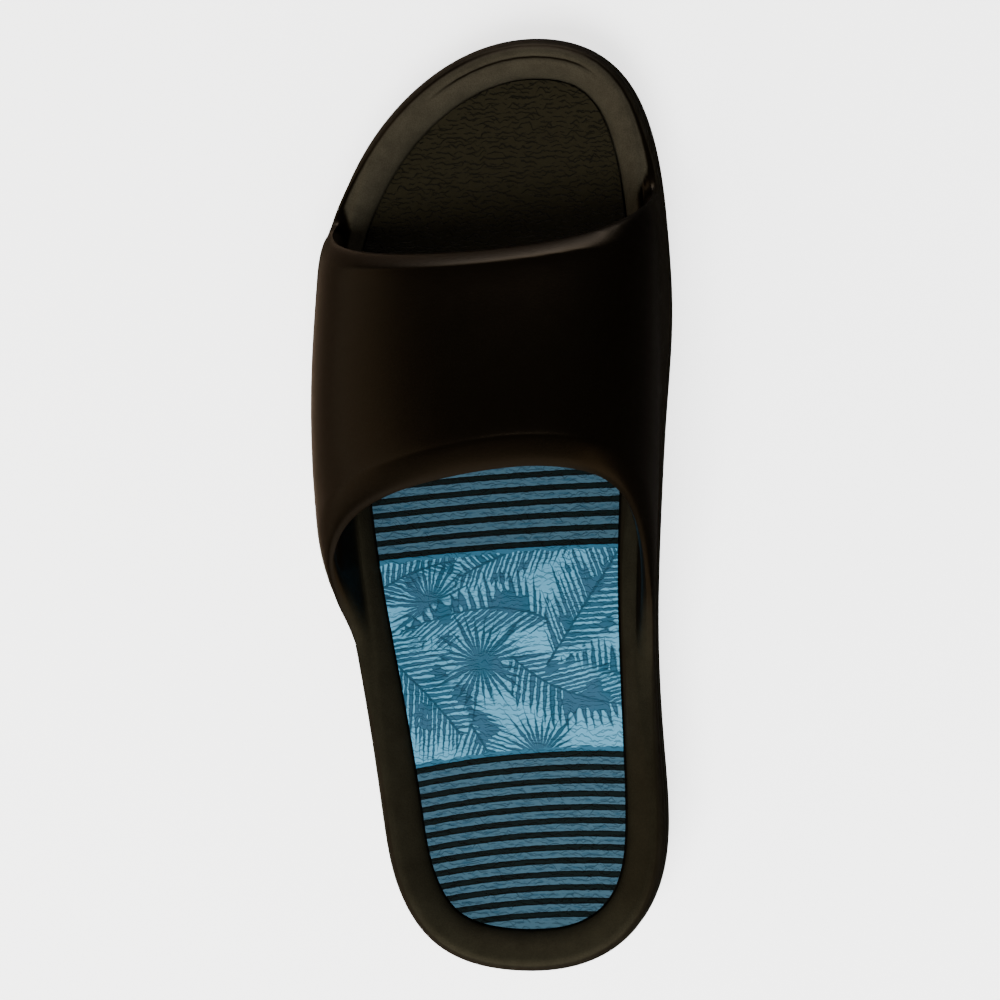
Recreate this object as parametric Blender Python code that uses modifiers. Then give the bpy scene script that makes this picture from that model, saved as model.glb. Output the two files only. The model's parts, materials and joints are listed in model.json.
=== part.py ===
"""Slip-on sandal for the left foot: a foam-rubber body moulded whole, with a printed insole in its footbed.

Metres, +Z up, +Y towards the toe, +X towards the big-toe side. The origin is at the middle of the
sandal's bounding box, at the level it stands on.
"""

import bmesh
import bpy
import numpy as np
from mathutils import Matrix

for old in list(bpy.data.objects):
    bpy.data.objects.remove(old)

MM = 0.001

# Widest outline of the sole from above, heel to toe: a row for each section, in millimetres, with the
# insole's distance inside the outline on each side.
OUTLINE_COLUMNS = ("along", "outer_side", "inner_side", "insole_outer", "insole_inner")
OUTLINE = (
    (-139.8, -4.6, 34.4, 12.8, 12.8),
    (-133.5, -15.8, 45.4, 12.8, 12.8),
    (-124.0, -22.6, 53.2, 12.8, 12.8),
    (-110.0, -27.8, 57.6, 12.8, 12.8),
    (-94.0, -30.0, 58.0, 12.8, 12.8),
    (-70.0, -33.7, 56.0, 12.5, 11.4),
    (-42.0, -38.4, 54.6, 11.6, 11.2),
    (-18.0, -42.4, 54.9, 11.0, 12.2),
    (6.0, -44.8, 55.8, 10.0, 12.6),
    (30.0, -47.2, 57.0, 9.4, 12.8),
    (52.0, -49.9, 58.8, 10.0, 12.8),
    (70.0, -50.0, 58.6, 10.8, 12.6),
    (86.0, -47.9, 57.2, 11.8, 12.4),
    (102.0, -42.0, 55.6, 12.6, 12.6),
    (117.0, -32.8, 52.3, 12.8, 12.8),
    (130.0, -20.2, 46.6, 13.0, 13.0),
    (139.0, -6.2, 37.6, 13.2, 13.2),
)
HEEL_END = (14.5, -142.4)
TOE_END = (16.5, 144.2)

# Side view of the sole: heights of its underside, of the insole's middle and of the rim, how far the
# insole's edges rise, and how much more it rises under the arch of the foot.
PROFILE_COLUMNS = ("along", "underside", "insole", "rim", "dish", "arch")
PROFILE = (
    (-143.0, 1.2, 31.5, 38.5, 2.6, 0.0),
    (-125.0, 0.0, 29.6, 37.6, 2.6, 0.0),
    (-95.0, 0.0, 28.6, 36.6, 2.6, 0.0),
    (-62.0, 0.0, 28.0, 35.4, 2.2, 1.0),
    (-25.0, 2.6, 26.0, 33.0, 1.6, 3.0),
    (14.0, 0.0, 22.0, 29.4, 1.0, 1.2),
    (50.0, 0.0, 19.6, 26.4, 0.8, 0.0),
    (78.0, 0.0, 19.0, 25.4, 0.8, 0.0),
    (105.0, 2.6, 20.0, 25.8, 0.8, 0.0),
    (128.0, 6.6, 22.4, 27.6, 0.8, 0.0),
    (145.0, 10.6, 24.8, 29.4, 0.8, 0.0),
)

# Rings of the body from the tread round the side and over the rim to the insole's pocket: how far each
# lies inside the outline and below the top of the rim, at the toe, beside the strap and at the heel.
RING_COLUMNS = ("toe_in", "toe_down", "strap_in", "strap_down", "heel_in", "heel_down")
RINGS = {
    "side step, lower edge": (0.5, 6.6, 0.2, 8.2, 0.3, 9.6),
    "side step, groove": (1.7, 5.6, 1.5, 7.3, 1.6, 8.7),
    "side step, upper edge": (1.5, 4.5, 0.6, 6.4, 0.6, 7.8),
    "shoulder": (2.2, 2.8, 0.6, 2.6, 0.9, 2.8),
    "strap wall, outside": (3.3, 1.3, 0.8, 0.4, 2.4, 0.6),
    "strap wall, inside": (4.3, 1.4, 6.2, 2.4, 4.6, 0.1),
}

# Rings between the foot of the strap's wall and the insole: share of the way, and height as above.
RIM_COLUMNS = ("share", "toe_down", "strap_down", "heel_down")
RIM_RINGS = {
    "crest": (0.14, 0.1, 0.6, 0.3),
    "slope": (0.58, 1.8, 2.6, 2.4),
}
TREAD_EDGE_IN = 4.2
LOW_SIDE_IN = 1.0
LOW_SIDE_UP = 4.5
WIDEST_SHARE = 0.45

# The strap from the outer side over the crown to the inner side: a row for each rib, with its place
# on the front hem, half way along and on the rear hem.
STRAP_COLUMNS = ("front_x", "front_y", "front_z", "mid_x", "mid_y", "mid_z", "rear_x", "rear_y", "rear_z")
STRAP = (
    (-48.2, 84.4, 31.0, -49.2, 25.5, 34.5, -41.8, -35.0, 38.0),
    (-46.9, 80.6, 40.0, -50.3, 29.5, 44.5, -46.0, -23.5, 44.8),
    (-39.0, 77.0, 49.8, -45.6, 33.5, 55.2, -43.6, -12.0, 54.4),
    (-26.8, 75.4, 56.6, -35.0, 37.0, 63.8, -34.0, -2.0, 65.8),
    (-11.6, 75.0, 61.2, -18.4, 40.0, 70.2, -18.6, 4.8, 75.4),
    (5.6, 75.8, 63.6, 1.6, 42.6, 74.0, 1.0, 9.2, 81.0),
    (22.4, 77.8, 63.6, 20.6, 44.4, 75.0, 19.2, 11.8, 82.4),
    (36.6, 80.8, 60.6, 37.2, 45.0, 72.2, 35.2, 10.8, 80.2),
    (47.6, 84.8, 54.8, 49.4, 44.6, 65.0, 47.0, 6.6, 72.6),
    (53.2, 88.8, 46.0, 54.7, 41.0, 53.0, 53.0, -4.4, 59.4),
    (55.8, 92.6, 35.0, 56.6, 32.5, 38.6, 55.0, -22.5, 45.6),
)

# Thickness of the strap over the foot, and of its wall where that grows out of the rim on each side.
STRAP_WALL = 4.6
FOOT_WALL = {"outer": 6.8, "inner": 4.6}

# Both hems of the strap are bevelled: a low ridge stands on the strap's outside, and from it the hem
# falls to the lip.
HEM_RIDGE = 0.7
HEM_FALL = 2.0
HEM_STEP = 1.2
FRONT_HEM = 6.4
REAR_HEM = 8.8
HEM_FADE = 3
STRAP_FRONT = {"outer": 86.5, "inner": 96.0}
STRAP_REAR = {"outer": -43.0, "inner": -48.0}

# The insole, a cut sheet set flush in its pocket.
INSOLE_THICK = 3.0
INSOLE_GAP = 0.35
POCKET_LIP = 0.6

# Tread: straight grooves across the heel and the ball of the foot.
GROOVE_WIDE = 4.0
GROOVE_DEEP = 2.2
GROOVE_PITCH = 11.0
GROOVE_MARGIN = 11.0
HEEL_GROOVES = (-124.0, 5)
BALL_GROOVES = (18.0, 6)

# How finely the outline is divided: round the toe, along each side of the strap, round the heel.
TOE_PARTS = 14
STRAP_PARTS = 10
HEEL_PARTS = 18
END_PARTS = 6
OUTLINE_STEPS = 2000


def column(table, columns, name):
    """One named column of a table."""
    place = columns.index(name)
    return np.array([row[place] for row in table])


def smooth_through(knots, values, at):
    """Smooth curve through values at rising knots (Hermite, slopes by differences), read at some places."""
    knots = np.asarray(knots, float)
    values = np.asarray(values, float)
    slopes = np.gradient(values, knots, axis=0)
    at = np.clip(at, knots[0], knots[-1])
    low = np.clip(np.searchsorted(knots, at) - 1, 0, len(knots) - 2)
    width = knots[low + 1] - knots[low]
    share = (at - knots[low]) / width
    if values.ndim > 1:
        share = share[:, None]
        width = width[:, None]
    start = values[low] + (values[low + 1] - values[low]) * share ** 2 * (3 - 2 * share)
    lean = slopes[low] * share * (1 - share) ** 2 - slopes[low + 1] * share ** 2 * (1 - share)
    return start + lean * width


def profile(name, along):
    """A height of the sole's side view at places along the sandal."""
    knots = column(PROFILE, PROFILE_COLUMNS, "along")
    return smooth_through(knots, column(PROFILE, PROFILE_COLUMNS, name), along)


def underside(along):
    """Height of the sole's underside, which lies flat under the heel and the ball of the foot."""
    return np.maximum(profile("underside", along), 0.0)


def outline_curve():
    """The closed outline, finely divided, from the heel's end up the outer side and back down the inner."""
    along = column(OUTLINE, OUTLINE_COLUMNS, "along")
    outer = np.column_stack((column(OUTLINE, OUTLINE_COLUMNS, "outer_side"), along))
    inner = np.column_stack((column(OUTLINE, OUTLINE_COLUMNS, "inner_side"), along))[::-1]
    loop = np.vstack(([HEEL_END], outer, [TOE_END], inner))
    lap = len(loop) // 4
    wrapped = np.vstack((loop[-lap:], loop, loop[:lap + 1]))
    knots = np.concatenate(([0.0], np.cumsum(np.linalg.norm(np.diff(wrapped, axis=0), axis=1))))
    at = np.linspace(knots[lap], knots[lap + len(loop)], OUTLINE_STEPS, endpoint=False)
    return smooth_through(knots, wrapped, at)


def ring_places():
    """The outline's points and inward directions, in equal steps round toe, strap sides and heel."""
    curve = outline_curve()
    half = np.argmax(curve[:, 1])

    def place(along, side):
        span = range(half) if side == "outer" else range(half, len(curve))
        return min(span, key=lambda i: abs(curve[i, 1] - along))

    stops = (
        place(STRAP_REAR["outer"], "outer"),
        place(STRAP_FRONT["outer"], "outer"),
        place(STRAP_FRONT["inner"], "inner"),
        place(STRAP_REAR["inner"], "inner"),
        place(STRAP_REAR["outer"], "outer") + len(curve),
    )
    parts = (STRAP_PARTS, TOE_PARTS, STRAP_PARTS, HEEL_PARTS)
    picks = [np.linspace(a, b, n, endpoint=False) for a, b, n in zip(stops, stops[1:], parts)]
    picks = np.round(np.concatenate(picks)).astype(int) % len(curve)
    ahead = np.roll(curve, -3, axis=0) - np.roll(curve, 3, axis=0)
    ahead /= np.linalg.norm(ahead, axis=1)[:, None]
    inward = np.column_stack((ahead[:, 1], -ahead[:, 0]))
    return curve[picks], inward[picks]


POINTS, INWARD = ring_places()
COUNT = len(POINTS)
OUTER_FOOT = np.arange(0, STRAP_PARTS + 1)
INNER_FOOT = np.arange(STRAP_PARTS + TOE_PARTS, 2 * STRAP_PARTS + TOE_PARTS + 1)


def zone_shares():
    """How far each point of the outline belongs to the toe, the strap and the heel, blended at the joins."""
    zone = np.zeros((COUNT, 3))
    toe = np.arange(STRAP_PARTS + 1, STRAP_PARTS + TOE_PARTS)
    zone[:, 2] = 1
    zone[np.concatenate((OUTER_FOOT, INNER_FOOT))] = (0, 1, 0)
    zone[toe] = (1, 0, 0)
    feet = zone[:, 1] == 1
    for _ in range(2):
        soft = (np.roll(zone, 1, axis=0) + 2 * zone + np.roll(zone, -1, axis=0)) / 4
        zone = np.where(feet[:, None], zone, soft)
    return zone


ZONES = zone_shares()


def inset_ring(inset):
    """The outline moved inwards in plan."""
    return POINTS + INWARD * np.reshape(inset, (-1, 1))


def outline_at(name, along):
    """A column of the outline's table at places along the sandal."""
    knots = column(OUTLINE, OUTLINE_COLUMNS, "along")
    return np.interp(along, knots, column(OUTLINE, OUTLINE_COLUMNS, name))


def insole_inset():
    """How far inside the outline the insole's pocket lies at each point."""
    along = POINTS[:, 1]
    outer_half = POINTS[:, 0] < (HEEL_END[0] + TOE_END[0]) / 2
    return np.where(outer_half, outline_at("insole_outer", along), outline_at("insole_inner", along))


INSOLE_IN = insole_inset()


def insole_height(plan):
    """Top of the insole at places in plan: dished across, and lifted at the arch on the inner side."""
    along = plan[:, 1]
    outer = outline_at("outer_side", along) + outline_at("insole_outer", along)
    inner = outline_at("inner_side", along) - outline_at("insole_inner", along)
    across = np.clip((2 * plan[:, 0] - outer - inner) / (inner - outer), -1.0, 1.0)
    lift = np.clip(across, 0.0, 1.0) ** 2 * profile("arch", along)
    return profile("insole", along) + profile("dish", along) * across ** 2 + lift


def ring(inset, height):
    """A closed ring of the body at an inset from the outline."""
    return np.column_stack((inset_ring(inset), height))


def grid_inside(edge, height_of):
    """Rows of points that fill a ring from heel to toe, as a blend of its four sides."""
    start = COUNT - HEEL_PARTS // 2 + END_PARTS // 2
    loop = np.roll(edge, -start, axis=0)
    length = (COUNT - 2 * END_PARTS) // 2
    outer = loop[:length + 1]
    toe = loop[length:length + END_PARTS + 1]
    inner = loop[length + END_PARTS:2 * length + END_PARTS + 1][::-1]
    heel = np.vstack((loop[2 * length + END_PARTS:], loop[:1]))[::-1]
    u = np.linspace(0, 1, length + 1)[:, None, None]
    w = np.linspace(0, 1, END_PARTS + 1)[None, :, None]
    sides = (1 - w) * outer[:, None] + w * inner[:, None]
    ends = (1 - u) * heel[None] + u * toe[None]
    low = (1 - w) * outer[0] + w * inner[0]
    high = (1 - w) * outer[-1] + w * inner[-1]
    patch = sides + ends - ((1 - u) * low + u * high)
    inside = patch[1:-1, 1:-1].reshape(-1, 3)
    inside[:, 2] = height_of(inside[:, :2])
    return start, length, inside


class Cage:
    """Points and faces of a piece, gathered ring by ring."""

    def __init__(self):
        self.points = []
        self.faces = []
        self.crisp = []

    def add(self, points):
        first = len(self.points)
        self.points.extend(map(tuple, points))
        return np.arange(first, len(self.points))

    def band(self, low, high, leave_out=()):
        """Faces between two closed rings, the second one above or inside the first."""
        for i in range(len(low)):
            if i not in leave_out:
                j = (i + 1) % len(low)
                self.faces.append((low[j], low[i], high[i], high[j]))

    def fill(self, ring_ids, height_of, facing_up):
        """Faces that close a ring with rows of squares."""
        edge = np.array([self.points[i] for i in ring_ids])
        start, length, inside = grid_inside(edge, height_of)
        loop = np.roll(ring_ids, -start)
        table = np.zeros((length + 1, END_PARTS + 1), int)
        table[:, 0] = loop[:length + 1]
        table[-1, :] = loop[length:length + END_PARTS + 1]
        table[:, -1] = loop[length + END_PARTS:2 * length + END_PARTS + 1][::-1]
        table[0, 1:] = loop[2 * length + END_PARTS:][::-1]
        table[1:-1, 1:-1] = self.add(inside).reshape(length - 1, END_PARTS - 1)
        for i in range(length):
            for j in range(END_PARTS):
                face = (table[i, j], table[i, j + 1], table[i + 1, j + 1], table[i + 1, j])
                self.faces.append(face if facing_up else face[::-1])

    def crease(self, line):
        """Keeps a line of points as a crisp edge."""
        self.crisp.extend(zip(line, line[1:]))

    def crease_ring(self, ring_ids):
        """Keeps a closed ring as a crisp edge."""
        self.crease([*ring_ids, ring_ids[0]])

    def build(self, name, material, collection):
        """The piece as an object, rounded by one level of subdivision."""
        mesh = bpy.data.meshes.new(name)
        mesh.from_pydata([tuple(MM * float(v) for v in p) for p in self.points], [],
                         [tuple(int(i) for i in f) for f in self.faces])
        mesh.materials.append(material)
        crisp = {tuple(sorted((int(a), int(b)))) for a, b in self.crisp}
        sharpness = mesh.attributes.new("crease_edge", "FLOAT", "EDGE")
        for edge in mesh.edges:
            sharpness.data[edge.index].value = float(tuple(sorted(edge.vertices)) in crisp)
        for face in mesh.polygons:
            face.use_smooth = True
        piece = bpy.data.objects.new(name, mesh)
        collection.objects.link(piece)
        rounding = piece.modifiers.new("rounding", "SUBSURF")
        rounding.levels = 1
        rounding.render_levels = 1
        return piece


def strap_rib(row, foot_rise):
    """One rib of the strap's outside from front hem to rear hem, with its hem lines drawn together."""
    places = dict(zip(STRAP_COLUMNS, row))
    ends = ("front", "mid", "rear")
    front, mid, rear = (np.array([places[f"{end}_{axis}"] for axis in "xyz"]) for end in ends)
    length = np.linalg.norm(mid - front) + np.linalg.norm(rear - mid)
    hem_lines = [0.0, FRONT_HEM, FRONT_HEM + HEM_STEP]
    rear_lines = [length - REAR_HEM - HEM_STEP, length - REAR_HEM, length]
    between = np.linspace(hem_lines[-1], rear_lines[0], STRAP_PARTS - 3)[1:-1]
    hemmed = np.concatenate((hem_lines, between, rear_lines)) / length
    even = np.linspace(0, 1, STRAP_PARTS + 1)
    v = (foot_rise * hemmed + (1 - foot_rise) * even)[:, None]
    return front * (1 - v) * (1 - 2 * v) + mid * 4 * v * (1 - v) + rear * v * (2 * v - 1)


def strap_shell(outer_foot, inner_foot):
    """Outside and inside of the strap between its feet: arrays of ribs, each from front hem to rear hem."""
    ribs = len(STRAP)
    rise = np.clip(np.minimum(np.arange(ribs) + 1, ribs - np.arange(ribs)) / (HEM_FADE + 1), 0.0, 1.0)
    outside = np.array([strap_rib(row, share) for row, share in zip(STRAP, rise)])
    whole = np.concatenate((outer_foot[None], outside, inner_foot[None]))
    across = np.gradient(whole, axis=0)
    along = np.gradient(whole, axis=1)
    normal = np.cross(along, across)
    normal /= np.linalg.norm(normal, axis=2)[..., None]
    hem = np.zeros(STRAP_PARTS + 1)
    hem[[1, -2]] = HEM_RIDGE
    hem[[0, -1]] = -HEM_FALL
    foot_wall = np.where(np.arange(ribs) < ribs / 2, FOOT_WALL["outer"], FOOT_WALL["inner"])
    wall = foot_wall + (STRAP_WALL - foot_wall) * rise
    inside = outside - normal[1:-1] * wall[:, None, None]
    return outside + normal[1:-1] * hem[None, :, None] * rise[:, None, None], inside


def ring_sizes(name):
    """Inset and height below the rim's top of a named ring, for every point of the outline."""
    sizes = dict(zip(RING_COLUMNS, RINGS[name]))
    inset = ZONES @ [sizes["toe_in"], sizes["strap_in"], sizes["heel_in"]]
    down = ZONES @ [sizes["toe_down"], sizes["strap_down"], sizes["heel_down"]]
    return inset, down


def build_body(material, collection):
    """The moulded body: sole, rim, pocket for the insole, and the strap growing out of the rim."""
    cage = Cage()
    along = POINTS[:, 1]
    base = underside(along)
    rim = profile("rim", along)
    tread = cage.add(ring(TREAD_EDGE_IN, base))
    cage.fill(tread, lambda plan: underside(plan[:, 1]), False)
    cage.crease_ring(tread)
    low_side = cage.add(ring(LOW_SIDE_IN, base + LOW_SIDE_UP))
    widest = cage.add(ring(0.0, base + WIDEST_SHARE * (rim - base)))
    cage.band(tread, low_side)
    cage.band(low_side, widest)
    below = widest
    feet = {}
    for name in RINGS:
        inset, down = ring_sizes(name)
        feet[name] = cage.add(ring(inset, rim - down))
        standing = name == "strap wall, inside"
        gaps = np.concatenate((OUTER_FOOT[:-1], INNER_FOOT[:-1])) if standing else ()
        cage.band(below, feet[name], gaps)
        below = feet[name]
    wall_in, _ = ring_sizes("strap wall, inside")
    for row in RIM_RINGS.values():
        sizes = dict(zip(RIM_COLUMNS, row))
        inset = wall_in + sizes["share"] * (INSOLE_IN - wall_in)
        down = ZONES @ [sizes["toe_down"], sizes["strap_down"], sizes["heel_down"]]
        slope = cage.add(ring(inset, rim - down))
        cage.band(below, slope)
        below = slope
    pocket_plan = inset_ring(INSOLE_IN)
    pocket_top = insole_height(pocket_plan) + POCKET_LIP
    pocket = cage.add(np.column_stack((pocket_plan, pocket_top)))
    floor_drop = INSOLE_THICK + INSOLE_GAP
    floor = cage.add(np.column_stack((pocket_plan, insole_height(pocket_plan) - floor_drop)))
    cage.band(below, pocket)
    cage.band(pocket, floor)
    cage.fill(floor, lambda plan: insole_height(plan) - floor_drop, True)
    cage.crease_ring(floor)

    def rim_points(name, foot):
        return np.array([cage.points[i] for i in feet[name][foot]])

    wall = ("strap wall, outside", "strap wall, inside")
    outer_to_toe = OUTER_FOOT[::-1]
    outside, inside = strap_shell(rim_points(wall[0], outer_to_toe), rim_points(wall[0], INNER_FOOT))
    loops = [np.concatenate((feet[wall[0]][outer_to_toe], feet[wall[1]][OUTER_FOOT]))]
    for out_rib, in_rib in zip(outside, inside):
        loops.append(cage.add(np.vstack((out_rib, in_rib[::-1]))))
    loops.append(np.concatenate((feet[wall[0]][INNER_FOOT], feet[wall[1]][INNER_FOOT[::-1]])))
    for last, this in zip(loops, loops[1:]):
        cage.band(this, last)
    for hem_line in (1, STRAP_PARTS - 1):
        cage.crease([loop[hem_line] for loop in loops[HEM_FADE:-HEM_FADE]])
    return cage.build("upper_and_sole", material, collection)


def build_insole(material, collection):
    """The insole: a thin sheet lying in the pocket with a small gap all round."""
    cage = Cage()
    plan = inset_ring(INSOLE_IN + INSOLE_GAP)
    top = insole_height(plan)
    low = cage.add(np.column_stack((plan, top - INSOLE_THICK)))
    high = cage.add(np.column_stack((plan, top)))
    cage.fill(low, lambda places: insole_height(places) - INSOLE_THICK, False)
    cage.band(low, high)
    cage.fill(high, insole_height, True)
    cage.crease_ring(low)
    cage.crease_ring(high)
    return cage.build("insole", material, collection)


def build_grooves(collection):
    """Bars that cut the tread's grooves, kept clear of the sole's edge."""
    bars = bmesh.new()
    for start, count in (HEEL_GROOVES, BALL_GROOVES):
        for along in start + GROOVE_PITCH * np.arange(count):
            outer = outline_at("outer_side", along) + GROOVE_MARGIN
            inner = outline_at("inner_side", along) - GROOVE_MARGIN
            middle = Matrix.Translation((MM * (outer + inner) / 2, MM * along, 0.0))
            size = Matrix.Diagonal((MM * (inner - outer), MM * GROOVE_WIDE, MM * 2 * GROOVE_DEEP, 1.0))
            bmesh.ops.create_cube(bars, size=1.0, matrix=middle @ size)
    mesh = bpy.data.meshes.new("tread_groove_bars")
    bars.to_mesh(mesh)
    bars.free()
    cutter = bpy.data.objects.new("tread_groove_bars", mesh)
    collection.objects.link(cutter)
    cutter.hide_render = True
    cutter.display_type = "WIRE"
    return cutter


def plain_material(name, colour, roughness):
    """A Principled material of one colour."""
    material = bpy.data.materials.new(name)
    material.use_nodes = True
    shader = material.node_tree.nodes["Principled BSDF"]
    shader.inputs["Base Color"].default_value = (*colour, 1.0)
    shader.inputs["Roughness"].default_value = roughness
    shader.inputs["Metallic"].default_value = 0.0
    return material


def new_collection(name):
    collection = bpy.data.collections.new(name)
    bpy.context.scene.collection.children.link(collection)
    return collection


sandal = new_collection("slip_on_sandal")
cutters = new_collection("cutters")
body = build_body(plain_material("black_foam_rubber", (0.012, 0.011, 0.009), 0.5), sandal)
insole = build_insole(plain_material("printed_foam_sheet", (0.10, 0.25, 0.33), 0.75), sandal)
grooves = build_grooves(cutters)
tread_cut = body.modifiers.new("tread grooves", "BOOLEAN")
tread_cut.operation = "DIFFERENCE"
tread_cut.solver = "EXACT"
tread_cut.object = grooves

# Everything is moved so that the origin is below the middle of the finished sandal.
bpy.context.view_layer.update()
finished = body.evaluated_get(bpy.context.evaluated_depsgraph_get())
corners = np.array([corner[:] for corner in finished.bound_box])
middle = (corners.min(axis=0) + corners.max(axis=0)) / 2
for piece in (body, insole, grooves):
    for vertex in piece.data.vertices:
        vertex.co.x -= middle[0]
        vertex.co.y -= middle[1]
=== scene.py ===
"""Slip-on sandal for the left foot: the looks of its moulded body and its printed insole.

Metres, +Z up, +Y towards the toe, +X towards the big-toe side. Materials count in millimetres.
"""

import json
import math

import bpy
import numpy as np
from mathutils import Matrix, Vector
from mathutils.geometry import convex_hull_2d

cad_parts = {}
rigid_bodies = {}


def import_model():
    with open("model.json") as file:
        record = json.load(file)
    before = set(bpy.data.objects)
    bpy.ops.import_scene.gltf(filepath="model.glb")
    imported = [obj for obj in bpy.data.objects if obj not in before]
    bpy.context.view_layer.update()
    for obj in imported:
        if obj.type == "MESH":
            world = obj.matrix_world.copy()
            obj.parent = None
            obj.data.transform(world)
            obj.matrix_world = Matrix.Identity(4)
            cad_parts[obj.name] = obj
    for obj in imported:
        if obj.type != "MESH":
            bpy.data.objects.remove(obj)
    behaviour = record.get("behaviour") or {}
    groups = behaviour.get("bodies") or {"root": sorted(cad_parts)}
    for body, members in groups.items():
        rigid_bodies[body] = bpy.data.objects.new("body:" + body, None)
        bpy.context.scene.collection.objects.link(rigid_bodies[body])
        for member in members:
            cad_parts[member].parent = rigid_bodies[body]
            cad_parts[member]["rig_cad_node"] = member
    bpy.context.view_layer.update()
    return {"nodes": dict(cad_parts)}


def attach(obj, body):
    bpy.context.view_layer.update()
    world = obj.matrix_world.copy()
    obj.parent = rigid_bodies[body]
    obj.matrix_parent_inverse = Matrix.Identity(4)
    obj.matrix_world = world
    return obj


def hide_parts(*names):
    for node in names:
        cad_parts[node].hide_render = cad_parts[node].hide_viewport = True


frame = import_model()

# Camera. The photograph looks down from above the big-toe side of the sandal, about arm's length up.
# The camera stands in that place and turns to the sandal, which then fills the frame from heel to toe.
EYE = Vector((0.0822, -0.0005, 0.780))
AIM = Vector((0.0015, 0.0005, 0.022))
FIELD_WIDTH = 0.3075
back = (EYE - AIM).normalized()
right = Vector((0.0, 1.0, 0.0)).cross(back).normalized()
up = back.cross(right)
lens = bpy.data.cameras.new("camera")
lens.angle = 2 * math.atan(FIELD_WIDTH / 2 / (EYE - AIM).length)
camera = bpy.data.objects.new("camera", lens)
camera.matrix_world = Matrix.Translation(EYE) @ Matrix((right, up, back)).transposed().to_4x4()
bpy.context.scene.collection.objects.link(camera)
bpy.context.scene.camera = camera

# The body. Sole, rim and strap come out of one mould in black foam rubber, so they are one piece. The
# strap is smooth and satin, the side walls are smooth and matt, the rim round the foot is grainy and matt.
MERGE = 1e-5
CRISP_ANGLE = math.radians(48)
PAIR_ANGLE = math.radians(40)
PAIR_SHAPE = math.radians(70)
BODY_ROUNDING = 2
TO_MM = 1000.0


def copy_of_solid(node, name):
    """A copy of a CAD solid as a piece of its own, with its loose triangles merged and paired."""
    bpy.ops.object.select_all(action="DESELECT")
    solid = frame["nodes"][node]
    solid.select_set(True)
    bpy.context.view_layer.objects.active = solid
    bpy.ops.object.duplicate()
    piece = bpy.context.view_layer.objects.active
    piece.name = name
    piece.parent = None
    piece.data.materials.clear()
    del piece["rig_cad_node"]
    bpy.ops.object.mode_set(mode="EDIT")
    bpy.ops.mesh.select_mode(type="EDGE")
    bpy.ops.mesh.select_all(action="SELECT")
    bpy.ops.mesh.remove_doubles(threshold=MERGE)
    bpy.ops.mesh.customdata_custom_splitnormals_clear()
    bpy.ops.mesh.tris_convert_to_quads(face_threshold=PAIR_ANGLE, shape_threshold=PAIR_SHAPE)
    return piece


def keep_crisp_and_round(piece, levels):
    """Creases the sharp edges of the piece in edit mode, then rounds the rest by subdivision."""
    bpy.ops.mesh.select_all(action="DESELECT")
    bpy.ops.mesh.edges_select_sharp(sharpness=CRISP_ANGLE)
    bpy.ops.transform.edge_crease(value=1.0)
    bpy.ops.object.mode_set(mode="OBJECT")
    rounding = piece.modifiers.new("rounding", "SUBSURF")
    rounding.levels = levels
    rounding.render_levels = levels
    bpy.ops.object.modifier_apply(modifier=rounding.name)
    bpy.ops.object.shade_smooth_by_angle(angle=CRISP_ANGLE)


body = copy_of_solid("upper_and_sole", "moulded_body")
keep_crisp_and_round(body, BODY_ROUNDING)


def way_from(points, line):
    """The shortest way from a closed line to points in plan: its length, and its direction."""
    length = np.full(len(points), np.inf)
    way = np.zeros_like(points)
    for start, end in zip(line, np.roll(line, -1, axis=0)):
        span = end - start
        share = np.clip((points - start) @ span / (span @ span), 0.0, 1.0)
        off = points - start - share[:, None] * span
        distance = np.linalg.norm(off, axis=1)
        nearer = distance < length
        length[nearer] = distance[nearer]
        way[nearer] = off[nearer]
    return length, way / length[:, None]


def soft_step(values, low, high):
    """0 at low and below, 1 at high and above, and a soft step between; high may lie below low."""
    share = np.clip((values - low) / (high - low), 0.0, 1.0)
    return share * share * (3 - 2 * share)


# A fine groove runs round the tip of the toe, on the rim, and fades out on both sides.
GROOVE_OUT = 0.0059
GROOVE_HALF = 0.00042
GROOVE_DEEP = 0.0008
GROOVE_ABOVE = 0.024
GROOVE_OUTER_END = (-0.024, -0.010)
GROOVE_INNER_END = (0.034, 0.024)
GROOVE_BACK_END = (0.116, 0.126)
flat_insole = sorted({v.co.xy[:] for v in frame["nodes"]["insole"].data.vertices})
insole_line = np.array([flat_insole[place] for place in convex_hull_2d(flat_insole)])
points = np.array([v.co[:] for v in body.data.vertices])
normals = np.array([v.normal[:] for v in body.data.vertices])
from_insole, outward = way_from(points[:, :2], insole_line)
off_line = (from_insole - GROOVE_OUT) / GROOVE_HALF
fade = soft_step(points[:, 0], *GROOVE_OUTER_END) * soft_step(points[:, 0], *GROOVE_INNER_END)
fade = fade * soft_step(points[:, 1], *GROOVE_BACK_END) * (points[:, 2] > GROOVE_ABOVE)
in_groove = fade * np.exp(-off_line ** 2)
points = points - normals * (GROOVE_DEEP * in_groove)[:, None]
body.data.vertices.foreach_set("co", points.astype(np.float32).ravel())
body.data.update()


def store(piece, name, values):
    """Keeps a number for each point of a piece, for its material."""
    kept = piece.data.attributes.new(name, "FLOAT", "POINT")
    kept.data.foreach_set("value", values.astype(np.float32))


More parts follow.
